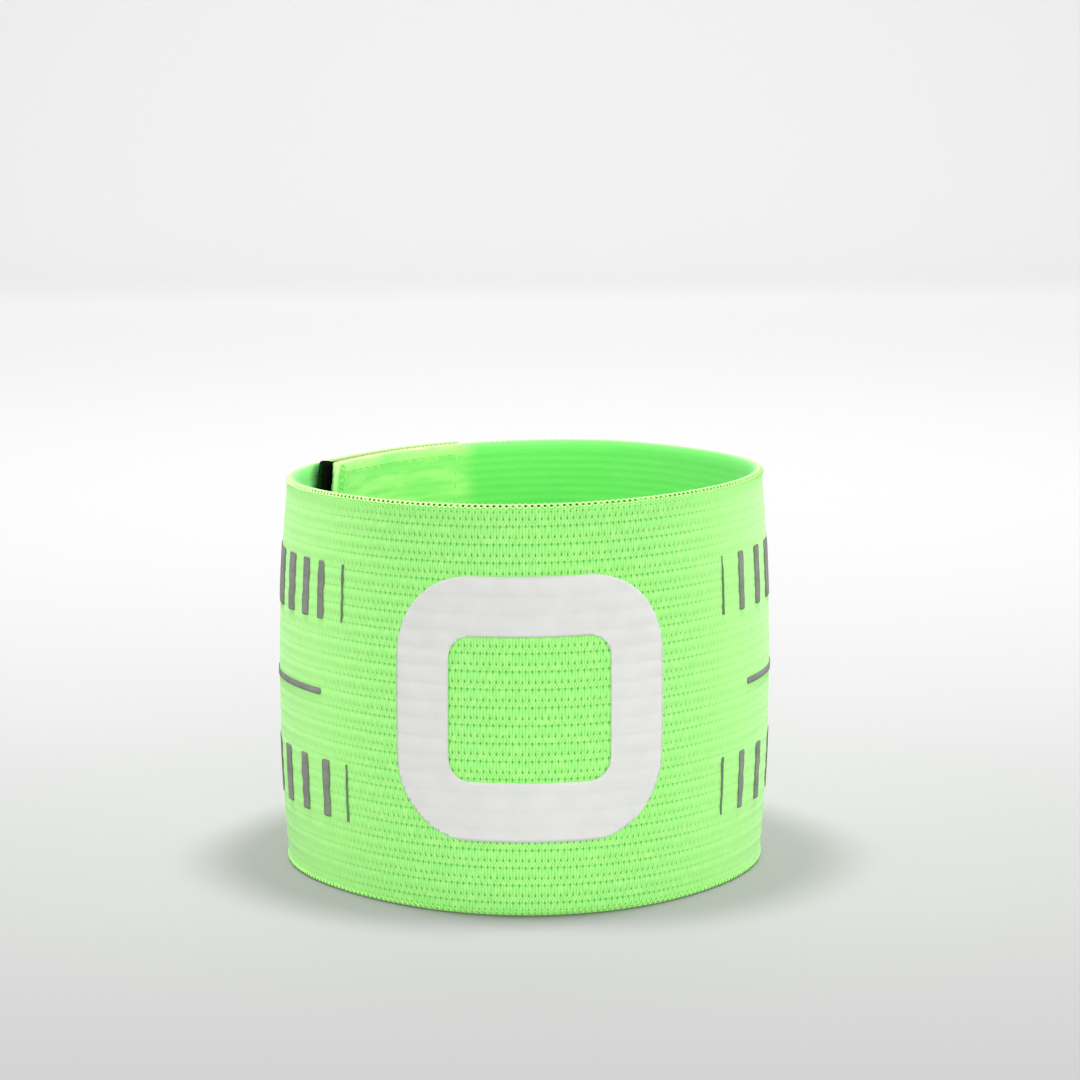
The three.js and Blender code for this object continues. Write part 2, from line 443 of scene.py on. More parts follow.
class Finish:
    """A material under construction."""

    mix_sockets = {"factor": 0, "first": 6, "second": 7, "result": 2}

    def __init__(self, name, **constants):
        self.material = bpy.data.materials.new(name)
        self.material.use_nodes = True
        self.tree = self.material.node_tree
        self.shader = self.tree.nodes["Principled BSDF"]
        for socket, value in constants.items():
            self.shader.inputs[socket.replace("_", " ")].default_value = value

    def add(self, kind, settings=None, *inputs, output=0, **named):
        """Adds a node: its settings first, then the values or signals of its sockets."""
        node = self.tree.nodes.new(kind)
        for setting, value in (settings or {}).items():
            setattr(node, setting, value)
        sockets = list(enumerate(inputs)) + [(name.replace("_", " "), v) for name, v in named.items()]
        for key, value in sockets:
            self.set(node.inputs[key], value)
        return Signal(self, node.outputs[output])

    def set(self, socket, value):
        if isinstance(value, Signal):
            self.tree.links.new(value.socket, socket)
        else:
            socket.default_value = value

    def mix(self, factor, first, second):
        """A colour between two colours."""
        node = self.tree.nodes.new("ShaderNodeMix")
        node.data_type = "RGBA"
        for name, value in (("factor", factor), ("first", first), ("second", second)):
            self.set(node.inputs[self.mix_sockets[name]], value)
        return Signal(self, node.outputs[self.mix_sockets["result"]])

    def noise(self, scale, detail=2.0, vector=None):
        """Noise of a piece's own metres, or of another vector."""
        vector = vector or self.add("ShaderNodeTexCoord", output="Object")
        return self.add("ShaderNodeTexNoise", None, Vector=vector, Scale=scale, Detail=detail)

    def knit(self):
        """The stitch, the rib and the depth of a point, as three signals."""
        place = self.add("ShaderNodeAttribute", {"attribute_name": "knit"}, output="Vector")
        parts = self.add("ShaderNodeSeparateXYZ", None, place).socket.node
        return [Signal(self, parts.outputs[axis]) for axis in range(3)]

    def wear(self, colour=None, roughness=None, glow=None, height=None, distance=0.1 * mm, strength=1.0):
        """Links what varies over the surface to the shader."""
        for name, value in (("Base Color", colour), ("Roughness", roughness), ("Emission Color", glow)):
            if value is not None:
                self.set(self.shader.inputs[name], value)
        if height is not None:
            bump = self.add("ShaderNodeBump", None, Height=height, Distance=distance, Strength=strength)
            self.set(self.shader.inputs["Normal"], bump)
        return self.material


def tint(red, green, blue):
    """A colour that is read off a screen, 0 to 255, as Blender's linear colour."""
    levels = np.array([red, green, blue]) / 255
    linear = np.where(levels > 0.04045, ((levels + 0.055) / 1.055) ** 2.4, levels / 12.92)
    return (*[float(v) for v in linear], 1.0)


# %% [markdown]
# The elastic is a fluorescent lime. Its yarn is matt with a soft sheen, and the pits between its stitches are
# painted a deep green as their shade. The inner face is plainer: it is paler where the strip lies double, and
# a green painted shade darkens it beside the black pad. The colours are named by where they show, so that the
# finish can be read like a description of the strip.

# %% Colours of the elastic
lime = tint(176, 248, 140)
lime_deep = tint(127, 226, 103)
lime_pale = tint(204, 255, 156)
pit_shade_green = tint(52, 164, 52)
groove_shade_green = tint(96, 212, 96)
gap_shade_green = tint(112, 212, 84)
inner_lime = tint(128, 232, 114)
inner_deep = tint(104, 220, 96)
inner_pale = tint(178, 242, 134)
eye_shade_olive = tint(58, 66, 24)
rim_sand = tint(176, 208, 118)
lap_brown = tint(150, 160, 98)
pad_shade_green = tint(0, 128, 0)

# %% [markdown]
# The pattern is drawn from the knit attribute, so it follows the strip round the loop and its pits fall on
# the pits of the mesh. Each part of it is a mask from 0 to 1. A picture of a knit would be quicker to lay
# on, but masks stay sharp from near by and can fade from the open front to the shut sides.

# %% Masks of the knit
pit_half_width = 0.18
tail_flare = 0.8
rim_tail = 0.08
strand_lean = 0.12
top_pits = (highest_pits - first_row) / rib_pitch
bottom_pits = (lowest_pits - first_row) / rib_pitch
rim_rib = (strip_height - rim_band - first_row) / rib_pitch


def pit_mask(stitch, rib, beside, above, tail_up, tail_down=rim_tail):
    """1 in the middle of each pit of a row, fading along the pit's upper and lower tail."""
    across = ((stitch + (0.5 - beside)).fraction() - 0.5).size()
    up = (rib + (0.5 - above)).fraction() - 0.5
    rise = up.above(0.0) / tail_up
    fall = (up * -1).above(0.0) / tail_down
    narrow = across * (1 + rise * tail_flare + fall * tail_flare) / pit_half_width
    far = (narrow * narrow + rise * rise + fall * fall).math("SQRT")
    return far.step(1.0, 0.2)


def within_ribs(rib):
    """1 between the single pit rows at the two rims."""
    return rib.step(bottom_pits + 0.1, bottom_pits + 0.2) * rib.step(top_pits - 0.1, top_pits - 0.2)


def all_pits(stitch, rib):
    """The two pit rows of every groove, and the single one at each rim."""
    lower = pit_mask(stitch, rib, 0.5, 0.0, 0.07, 0.17) * within_ribs(rib)
    upper = pit_mask(stitch, rib, 0.0, pair_share, 0.2, 0.07) * within_ribs(rib)
    at_top = rib.step(top_pits - 0.5, top_pits - 0.4)
    at_bottom = rib.step(bottom_pits + 0.5, bottom_pits + 0.4)
    top = pit_mask(stitch, rib, 0.5, top_pits, rim_tail) * at_top
    bottom = pit_mask(stitch, rib, 0.0, bottom_pits, rim_tail) * at_bottom
    return lower.math("MAXIMUM", bottom).math("MAXIMUM", upper.math("MAXIMUM", top))


def strand_ridges(stitch, rib):
    """1 on the crest of each strand. The strands lean round the pits, so they meet in small Vs."""
    part = rib.fraction()
    in_pair = 1 - part * (2 / pair_share)
    in_rib = (part - pair_share) * (2 / (1 - pair_share)) - 1
    lean = in_pair.above(in_rib)
    moved = stitch + lean * (stitch * full_turn).math("SINE") * strand_lean
    return 1 - ((moved * 2).fraction() - 0.5).size() * 2


def crossing_threads(stitch, part, fibre):
    """The lattice of the narrow band between two pit rows: high on its threads, low in its gaps."""
    slope = 1.5 / pair_share
    rising = ((stitch * 2 + part * slope).fraction() - 0.5).size()
    falling = ((stitch * 2 - part * slope).fraction() - 0.5).size()
    return rising + falling + (fibre - 0.5) * 0.6


# %% [markdown]
# The outer face is built up in layers: the strands first, with painted shade between them, then the lattice,
# with painted highlights on its threads and painted shade in its gaps, a few paler stitches, a thin painted
# shade along each groove, and the painted shade of the pits last. Most of these fade towards the shut sides.
# How strongly each colour shows is kept in one table. The rim has a dark olive painted shade in the eyes of
# its chain and is sandy between them.

# %% Colours of the two faces
pad_inset = 1 * mm
loop_pad_length = 42.8 * mm
pad_end = pad_inset + loop_pad_length
pad_shade_reach = 4.2 * mm
doubled_from = 38.0
doubled_to = 33.0
shows = {
    "shut": 0.35, "lattice": 0.7, "pale_stitch": 0.35, "groove": 0.22, "open_groove": 0.15,
    "pit": 0.85, "rim": 0.5, "lap_rim": 0.6,
}


def outer_colour(finish, stitch, rib, strand, fibre, uneven, open_knit):
    contrast = open_knit * (1 - shows["shut"]) + shows["shut"]
    # Painted shade: lime_deep darkens the face between the crests of the strands that the bump raises.
    colour = finish.mix((1 - strand.step(0.2, 1.2)) * contrast, lime, lime_deep)
    part = rib.fraction()
    narrow = part.step(pair_share + 0.04, pair_share - 0.06) * part.step(0.0, 0.08)
    threads = crossing_threads(stitch, part, fibre)
    # Painted shade in the lattice's gaps and painted highlights on its threads.
    gaps = narrow * threads.step(0.4, 0.1) * open_knit
    crests = narrow * threads.step(0.5, 0.85) * contrast
    colour = finish.mix(gaps * shows["lattice"], colour, gap_shade_green)
    colour = finish.mix(crests * shows["lattice"], colour, lime_pale)
    colour = finish.mix(uneven.step(0.45, 0.8) * contrast * shows["pale_stitch"], colour, lime_pale)
    # Painted shade: a thin darker line along each groove.
    from_groove = ((rib + 0.5).fraction() - 0.5).size()
    groove = from_groove.step(0.075, 0.0) * within_ribs(rib) * uneven.step(0.1, 0.5)
    return finish.mix(groove * (open_knit * shows["open_groove"] + shows["groove"]), colour, groove_shade_green)


def rim_colour(finish, stitch, on_rim, uneven, colour):
    """A dark olive painted shade in the eyes of the chain, which lie halfway between two stitches, and sandy
    between them.
    """
    eye = (stitch.fraction() - 0.5).size().step(0.34, 0.14)
    colour = finish.mix(on_rim * shows["rim"], colour, rim_sand)
    # Painted shade: dark olive in the eyes of the chain.
    return finish.mix(on_rim * eye * uneven.step(0.1, 0.5), colour, eye_shade_olive)


def inner_colour(finish, stitch, rib, line, fibre):
    wisp_place = finish.add("ShaderNodeCombineXYZ", None, stitch * 0.12, rib * 1.4, 0.0)
    wisp = finish.noise(1.0, 3.0, wisp_place)
    # Painted shade: the inner ribs are darker in their valleys and paler on the crests that the bump raises.
    colour = finish.mix(line.step(0.2, 1.0) * 0.3 + wisp * 0.6, inner_deep, inner_lime)
    doubled = stitch.step(wale_count - doubled_from, wale_count - doubled_to)
    colour = finish.mix(doubled * (0.4 + wisp.step(0.4, 0.65) * 0.5), colour, inner_pale)
    # Painted shade: the inner face is darkened to green beside the black pad.
    pad_shade = stitch.step((pad_end + pad_shade_reach) / wale, pad_end / wale)
    return finish.mix(pad_shade * (0.7 + fibre * 0.3), colour, pad_shade_green)


# %% [markdown]
# The finish joins both faces by the depth of a point, from 0 on the outer face to 1 on the inner one. The dye
# glows a little, so a weak emission of the same colour lifts the shaded parts as fluorescence does. The
# bump only adds what is finer than the mesh: the strands and their fibres.

# %% Elastic finish
def elastic_finish():
    finish = Finish(
        "elastic_lime", Roughness=0.85, Sheen_Weight=0.28, Sheen_Roughness=0.45,
        Specular_IOR_Level=0.2, Emission_Strength=0.1,
    )
    stitch, rib, depth = finish.knit()
    outside = depth.step(0.62, 0.45)
    open_knit = (stitch - front_stitch).size().step(float(shut_from), float(open_until))
    each_stitch = finish.add("ShaderNodeCombineXYZ", None, stitch * 0.9, rib * 1.7, 0.0)
    fibre_place = finish.add("ShaderNodeCombineXYZ", None, stitch * 9, rib * 3.0, 0.0)
    uneven = finish.noise(1.0, 1.0, each_stitch)
    fibre = finish.noise(1.0, 2.0, fibre_place)
    strand = strand_ridges(stitch, rib) * 0.5 + fibre * 0.9
    pits = all_pits(stitch, rib) * uneven.step(0.1, 0.4) * open_knit
    outer = outer_colour(finish, stitch, rib, strand, fibre, uneven, open_knit)
    # Painted shade: the pits are darkened to a deep green, over the pits sunk in the mesh.
    outer = finish.mix(pits * shows["pit"], outer, pit_shade_green)
    on_rim = rib.step(rim_rib, rim_rib + 0.03)
    outer = rim_colour(finish, stitch, on_rim * depth.step(0.5, 0.35), uneven, outer)
    line = ((rib * 2).fraction() - 0.5).size() * 2
    colour = finish.mix(outside, inner_colour(finish, stitch, rib, line, fibre), outer)
    in_lap = stitch.step(lap_length / wale, lap_length / wale - 1)
    colour = finish.mix(on_rim * in_lap * shows["lap_rim"], colour, lap_brown)
    height = (strand - pits * 1.6) * outside + (fibre * 0.5 + line * 0.2) * (1 - outside)
    return finish.wear(colour, glow=colour, height=height, distance=0.12 * mm, strength=0.7)


elastic = elastic_finish()


# %% [markdown]
# Now the strip can be knitted and wound.

# %% Knit and wind the strip
def make_band():
    mesh, rows, columns = knit_strip()
    lay_out(mesh, rows, columns)
    flat = bmesh.new()
    flat.from_mesh(mesh)
    bpy.data.meshes.remove(mesh)
    bmesh.ops.remove_doubles(flat, verts=flat.verts, dist=merge_gap / 2)
    cut_ends = [edge for edge in flat.edges if edge.is_boundary]
    caps = bmesh.ops.holes_fill(flat, edges=cut_ends, sides=0)["faces"]
    print("cut ends closed:", len(caps))
    return finish_flat("band_knit", flat, elastic, ["band"])


band = make_band()

# %% [markdown]
# A machine ends the knit in a chain along the upper rim and in a zigzag along the lower one. Both are
# threads, so both are one straight tube, a stitch long, repeated by an Array modifier and bent on to its
# path. Two threads that swing against each other make the chain: their crossings are its links, and the rim
# under its eyes is painted a dark olive as their shade.

# %% Threads along the strip
def copied(bm, count, step, merge=False):
    """Repeats a small mesh along x, and gives back one mesh."""
    mesh = bpy.data.meshes.new("copied")
    bm.to_mesh(mesh)
    bm.free()
    source = bpy.data.objects.new("copied", mesh)
    scene.collection.objects.link(source)
    array = source.modifiers.new("array", "ARRAY")
    array.use_relative_offset = False
    array.use_constant_offset = True
    array.constant_offset_displace = (step, 0, 0)
    array.count = count
    array.use_merge_vertices = merge
    array.merge_threshold = merge_gap
    result = bpy.data.meshes.new_from_object(source.evaluated_get(bpy.context.evaluated_depsgraph_get()))
    bpy.data.objects.remove(source)
    bpy.data.meshes.remove(mesh)
    return result


def straight_thread(radius, stitches, rings=6, sides=6):
    """A tube along x with a few rings to a stitch."""
    bm = bmesh.new()
    bmesh.ops.create_cone(bm, segments=sides, radius1=radius, radius2=radius, depth=wale)
    long_edges = [edge for edge in bm.edges if abs(edge.verts[0].co.z - edge.verts[1].co.z) > wale / 2]
    bmesh.ops.subdivide_edges(bm, edges=long_edges, cuts=rings - 1)
    bmesh.ops.rotate(bm, verts=bm.verts, matrix=Matrix.Rotation(math.pi / 2, 3, "Y"))
    bmesh.ops.translate(bm, verts=bm.verts, vec=(wale / 2, 0, 0))
    return copied(bm, stitches, wale, merge=True)


def bend_thread(mesh, path):
    """Bends a straight thread: path gives the height and the lift of its middle at each stitch."""
    points = mesh_points(mesh)
    height, lift = path(points[:, 0] / wale)
    points[:, 1] += height
    points[:, 2] += lift
    mesh.vertices.foreach_set("co", points.ravel())


def finish_mesh(name, mesh, material, nodes=()):
    mesh.shade_smooth()
    wind_mesh(mesh)
    mesh.materials.clear()
    return add_piece(name, mesh, material, nodes)


# %% [markdown]
# A sewing thread is a few yarns twisted together. Slanting stripes on the knit attribute give that twist, in
# the colour and in a fine bump, so no thread has to be modelled as a helix. In the colour the stripes are a
# painted shade, darker in the grooves of the twist, with some random tone, and a weak emission of the
# thread's own colour is a painted glow, as on the fluorescent elastic.

# %% Thread finish
chain_pale = tint(188, 244, 148)
chain_lime = tint(152, 236, 118)


def thread_finish(name, pale, deep):
    # The emission of the thread's own colour is a painted glow.
    finish = Finish(name, Roughness=0.85, Sheen_Weight=0.08, Emission_Strength=0.08)
    stitch, rib, depth = finish.knit()
    twist = ((stitch * 3 + rib * 9 - depth * 2).fraction() - 0.5).size() * 2
    # Painted shade: darker in the grooves of the twist.
    colour = finish.mix(twist * 0.6 + finish.noise(900) * 0.5, deep, pale)
    return finish.wear(colour, glow=colour, height=twist, distance=0.05 * mm)


chain_thread = thread_finish("thread_chain", chain_pale, chain_lime)
lime_thread = thread_finish("thread_lime", lime_pale, lime_deep)

# %% [markdown]
# The chain's two threads swing opposite ways and pass over each other once a stitch. The chain leans outwards
# over the rim, so that it shows from in front. The zigzag climbs and falls once a stitch.

# %% Upper chain and lower zigzag
chain_radius = 0.145 * mm
chain_swing = 0.42 * mm
chain_cross = 0.1 * mm
chain_height = strip_height - 0.3 * mm
chain_lift = -0.12 * mm
zigzag_radius = 0.15 * mm
zigzag_low = 0.24 * mm
zigzag_rise = 0.72 * mm
zigzag_lift = 0.04 * mm
tilt = math.sqrt(0.5)


def chain_path(hand):
    def path(stitch):
        swing = hand * chain_swing * np.sin(math.pi * stitch)
        over = hand * chain_cross * np.cos(math.pi * stitch)
        return chain_height + tilt * (over - swing), chain_lift + tilt * (over + swing)
    return path


def zigzag_path(stitch):
    share = np.abs((stitch + 0.5) % 1 - 0.5) * 2
    return zigzag_low + zigzag_rise * (1 - share), zigzag_lift * np.ones_like(stitch)


for name, hand in (("chain_over", 1), ("chain_under", -1)):
    chain = straight_thread(chain_radius, wale_count)
    bend_thread(chain, chain_path(hand))
    finish_mesh(name, chain, chain_thread)
zigzag = straight_thread(zigzag_radius, wale_count, rings=4)
bend_thread(zigzag, zigzag_path)
finish_mesh("edge_zigzag", zigzag, lime_thread)

# %% [markdown]
# The film prints are cut flat, laid on the finished strip and pressed with heat. The film sinks a little
# into the ribs, so their lines show through. Each one is an outline made from a plane, with its corners
# beveled, cut into small cells by planes, given a wall and bent down into the ribs. The thin bars come out
# a little ragged because the ribs move as the film cools.

# %% Flat film shapes
film_wall = 0.13 * mm
film_lift = 0.03 * mm
film_sink = 0.35


def rectangle(wide, tall, corner, sides):
    """A flat rectangle about the origin with round corners."""
    bm = bmesh.new()
    bmesh.ops.create_grid(bm, x_segments=1, y_segments=1, size=0.5)
    bmesh.ops.scale(bm, verts=bm.verts, vec=(wide, tall, 1))
    bmesh.ops.bevel(
        bm, geom=bm.verts[:], offset=corner, offset_type="OFFSET", segments=sides,
        profile=0.5, affect="VERTICES", material=-1,
    )
    return bm


def cut_cells(bm, cell):
    """Cuts a flat sheet along both axes, so that it can bend."""
    for axis in (0, 1):
        places = [vert.co[axis] for vert in bm.verts]
        normal = [0, 0, 0]
        normal[axis] = 1
        for place in np.arange(min(places) + cell, max(places) - cell / 4, cell):
            on_plane = [0, 0, 0]
            on_plane[axis] = place
            geometry = bm.verts[:] + bm.edges[:] + bm.faces[:]
            bmesh.ops.bisect_plane(bm, geom=geometry, dist=merge_gap, plane_co=on_plane, plane_no=normal)


def give_wall(bm, thickness):
    """Thickens a flat sheet upwards from 0, and marks its outline for the material."""
    rim = bm.verts.layers.float.new("rim")
    for vert in bm.verts:
        vert[rim] = float(vert.is_boundary)
    bmesh.ops.solidify(bm, geom=bm.faces[:], thickness=thickness)
    lowest = min(vert.co.z for vert in bm.verts)
    bmesh.ops.translate(bm, verts=bm.verts, vec=(0, 0, -lowest))


def press_on(bm, along, height):
    """Lays a flat film at its place on the strip, a little sunk between the ribs."""
    bmesh.ops.translate(bm, verts=bm.verts, vec=(along, height, film_lift))
    for vert in bm.verts:
        vert.co.z += film_sink * float(rib_lift(vert.co.y) * relief(vert.co.x / wale))


# %% [markdown]
# Pressed film is nearly plain. What shows that it is film is small: faint clouds where it was pressed
# unevenly, a painted shade along the lines of the ribs below it, which the bump carries too, pale specks that
# on the grey film are painted glints of its beads, and a darker green edge, partly the knit where the film
# sinks into it and partly painted shade.

# %% Film finishes
film_pale = tint(224, 224, 222)
film_cloud_and_shade = tint(217, 218, 214)
film_edge_shade = tint(196, 214, 190)
grey_pale = tint(142, 145, 138)
grey_deep = tint(123, 127, 118)
grey_edge_shade = tint(98, 116, 90)


def film_finish(name, pale, deep, edge, edge_shade_share, grain, speckle_and_glint):
    finish = Finish(name, Specular_IOR_Level=0.3)
    stitch, rib, depth = finish.knit()
    rim = finish.add("ShaderNodeAttribute", {"attribute_name": "rim"}, output="Fac")
    line = ((rib - pair_share / 2).fraction() - 0.5).size() * 2
    rib_lines = line.step(0.55, 1.0)
    cloud = finish.noise(260, 3.0)
    speck = finish.noise(2600, 1.0)
    # The clouds are uneven pressing. Along the rib lines the colour is a painted shade.
    colour = finish.mix(cloud.step(0.3, 0.7) * 0.7 + rib_lines * 0.3, pale, deep)
    # Pale specks: on the grey film they are painted glints of its beads.
    colour = finish.mix(speck.step(0.62, 0.8) * speckle_and_glint, colour, film_pale)
    # The darker green edge: partly the knit where the film sinks into it, partly painted shade.
    colour = finish.mix(rim.step(0.0, 1.0) * edge_shade_share, colour, edge)
    height = cloud * 0.4 + speck * 0.5 - rib_lines * 0.5
    rough = 0.5 + cloud * 0.3
    return finish.wear(colour, roughness=rough, height=height, distance=grain)


white_film = film_finish(
    "film_white", film_pale, film_cloud_and_shade, film_edge_shade, edge_shade_share=0.5, grain=0.04 * mm, speckle_and_glint=0.2,
)
grey_film = film_finish(
    "film_grey", grey_pale, grey_deep, grey_edge_shade, edge_shade_share=0.6, grain=0.05 * mm, speckle_and_glint=0.2,
)

# %% [markdown]
# The white print is a plain frame with round corners. A rectangle with beveled corners is inset by the
# stroke and its inside is deleted, so both outlines stay parallel. A boolean cut would do too, but it
# leaves a rougher mesh, and this one still has to be cut into cells and bent.

# %% The frame in front
frame_width = 48.5 * mm
frame_height = 45.1 * mm
frame_stroke = 10.2 * mm
frame_corner = 14 * mm
frame_corner_sides = 14
frame_cell = 0.6 * mm
frame_aside = 0.95 * mm
frame_middle = strip_height / 2 + 0.45 * mm
frame_place = length_at(front_turn) + frame_aside


def make_front_frame():
    bm = rectangle(frame_width, frame_height, frame_corner, frame_corner_sides)
    inner = bmesh.ops.inset_region(
        bm, faces=bm.faces[:], thickness=frame_stroke, use_boundary=True, use_even_offset=True,
    )
    ring = set(inner["faces"])
    bmesh.ops.delete(bm, geom=[face for face in bm.faces if face not in ring], context="FACES")
    cut_cells(bm, frame_cell)
    give_wall(bm, film_wall)
    press_on(bm, frame_place, frame_middle)
    return finish_flat("film_frame", bm, white_film, ["front_frame"])


make_front_frame()

# %% [markdown]
# The grey bars run from thin ones near the frame to wide ones at the back, in two rows on each side. A
# thin dash lies between the two rows, drawn a little taller and lower than its solid. In the table, near is
# how far each bar's near edge is from the group's first one and wide is its width, as shares of bar_field.

# %% Grey bars and dashes
bar_gap = 14 * mm
bar_field = 39 * mm
dash_wall = 1.15 * mm
dash_drop = 0.5 * mm
dash_gap = 22 * mm
bar_corner = 0.35 * mm
bar_corner_share = 0.4
bar_corner_sides = 3
bar_cell = 0.4 * mm
bar_wave = 0.1 * mm
thin_bar = 0.42 * mm
bar_groups = [
    {
        "name": "upper_left", "side": -1, "row": 1, "gap": 0.95,
        "near": [0, 0.154, 0.288, 0.444, 0.624, 0.84],
        "wide": [0.02, 0.047, 0.057, 0.081, 0.122, 0.15],
    },
    {
        "name": "lower_left", "side": -1, "row": -1, "gap": 0.87,
        "near": [0, 0.14, 0.328, 0.526, 0.755, 0.93],
        "wide": [0.02, 0.051, 0.063, 0.081, 0.122, 0.15],
    },
    {
        "name": "upper_right", "side": 1, "row": 1, "gap": 1.13,
        "near": [0, 0.158, 0.344, 0.53, 0.8],
        "wide": [0.02, 0.047, 0.066, 0.122, 0.15],
    },
    {
        "name": "lower_right", "side": 1, "row": -1, "gap": 1.13,
        "near": [0, 0.165, 0.364, 0.64, 0.88],
        "wide": [0.02, 0.045, 0.06, 0.122, 0.15],
    },
]
dashes = [{"name": "dash_left", "side": -1, "gap": 0.9}, {"name": "dash_right", "side": 1, "gap": 1.127}]


def roughen(bm, wide, tall):
    """Lets both long edges of a bar wander from rib to rib."""
    knots = np.arange(-tall / 2, tall / 2 + rib_pitch / 2, rib_pitch / 2)
    left, right = rng.normal(0, bar_wave, (2, len(knots)))
    for vert in bm.verts:
        share = vert.co.x / wide + 0.5
        y = vert.co.y
        vert.co.x += float((1 - share) * np.interp(y, knots, left) + share * np.interp(y, knots, right))


def side_film(node, side, near, far, middle, tall, narrow=None):
    wide = narrow or far - near
    corner = min(bar_corner, wide * bar_corner_share, tall * bar_corner_share)
    bm = rectangle(wide, tall, corner, bar_corner_sides)
    cut_cells(bm, bar_cell)
    give_wall(bm, film_wall)
    if tall > wide:
        roughen(bm, wide, tall)
    place = frame_place + side * (frame_width / 2 + (near + far) / 2)
    press_on(bm, place, middle)
    finish_flat("film_" + node, bm, grey_film, [node])


for group in bar_groups:
    middle = frame_middle + group["row"] * (frame_height - frame_stroke) / 2
    for number, (near_share, wide_share) in enumerate(zip(group["near"], group["wide"]), 1):
        near = bar_gap * group["gap"] + near_share * bar_field
        far = near + wide_share * bar_field
        narrow = thin_bar if number == 1 else None
        side_film(f"bar_{group['name']}_{number}", group["side"], near, far, middle, frame_stroke, narrow)
for dash in dashes:
    near = dash_gap * dash["gap"]
    side_film(dash["name"], dash["side"], near, bar_gap + bar_field, frame_middle - dash_drop, dash_wall)

# %% [markdown]
# The closure is a hook pad sewn to the outer face of the inner end and a loop pad sewn to the inner face
# of the outer end. Only a strip of the loop pad shows, beside the inner end. Nothing presses on that part,
# so it stands a little higher than the rest. The pads are slabs cut like the films but with a restless face,
# black where they show, woven brown along their edge in the lap, and green-black in the fuzz past their end.

# %% Pad finish and pads
pad_margin = 0.3 * mm
pad_rise = -0.1 * mm
free_rise = 0.6 * mm
free_from = lap_length - 3 * mm
free_run = 4 * mm
hook_pad_length = 37 * mm
pile_depth = 0.1 * mm
pad_corner = 0.8 * mm
pad_corner_sides = 3
pad_cell = 0.8 * mm
pad_black = tint(4, 6, 4)
pad_worn = tint(22, 28, 20)
woven_brown = tint(150, 152, 92)
fuzz_dark = tint(14, 74, 10)


def pad_finish():
    finish = Finish("pad_pile", Roughness=1.0, Specular_IOR_Level=0.05)
    fuzz = finish.noise(2200, 3.0)
    clump = finish.noise(500, 2.0)
    colour = finish.mix(fuzz * 0.6 + clump * 0.4, pad_black, pad_worn)
    stitch, rib, depth = finish.knit()
    free_stitch = free_from / wale
    in_lap = stitch.step(free_stitch + 1, free_stitch - 2)
    colour = finish.mix(rib.step(rim_rib, rim_rib + 0.1) * in_lap * 0.8, colour, woven_brown)
    last = pad_end / wale
    strays = stitch.step(last - 0.2, last + 1.5) * stitch.step(wale_count / 2, last + 2)
    colour = finish.mix(strays * 0.8, colour, fuzz_dark)
    return finish.wear(colour, height=fuzz + clump, distance=0.15 * mm)


pad_pile = pad_finish()


def make_pad(node, start, long, lift, climb=0.0):
    """A slab with a restless face. It climbs by up to climb past the point free_from."""
    low, high = pad_margin, strip_height + pad_rise
    bm = rectangle(long, high - low, pad_corner, pad_corner_sides)
    cut_cells(bm, pad_cell)
    give_wall(bm, pad_wall - 2 * pile_depth)
    lowest = lift - pad_wall + pile_depth
    bmesh.ops.translate(bm, verts=bm.verts, vec=(start + long / 2, (low + high) / 2, lowest))
    for vert in bm.verts:
        free = min(max((vert.co.x - free_from) / free_run, 0), 1)
        vert.co.y += climb * free * free * (3 - 2 * free)
        vert.co.z += float(np.clip(rng.normal(0, pile_depth / 3), -pile_depth, pile_depth))
    return finish_flat("pile_" + node, bm, pad_pile, [node])


loop_pad = make_pad("loop_pad", pad_inset, loop_pad_length, -wall - pad_gap, free_rise)
hook_start = strip_length - pad_inset - hook_pad_length
hook_pad = make_pad("hook_pad", hook_start, hook_pad_length, pad_gap + pad_wall)

# %% [markdown]
# The pile is a tangle of tiny loops of yarn. One loop is spun from a four-sided ring and copied by an Array
# modifier. The copies are strewn over the pad where it shows, and past its end, where they make the edge
# soft. Real hair could do this, but it isn't a mesh, and the pile has to be exported as one.

# %% Pile of the loop pad where it shows
pile_count = 3200
pile_radius = 0.45 * mm
pile_yarn = 0.06 * mm
pile_turn = math.radians(200)
pile_rings = 7
pile_size = {"low": 0.5, "high": 1.1}
stray_share = 0.62
stray_reach = 1.1 * mm
pile_lowest = 1.2 * mm
pile_flat = 0.8


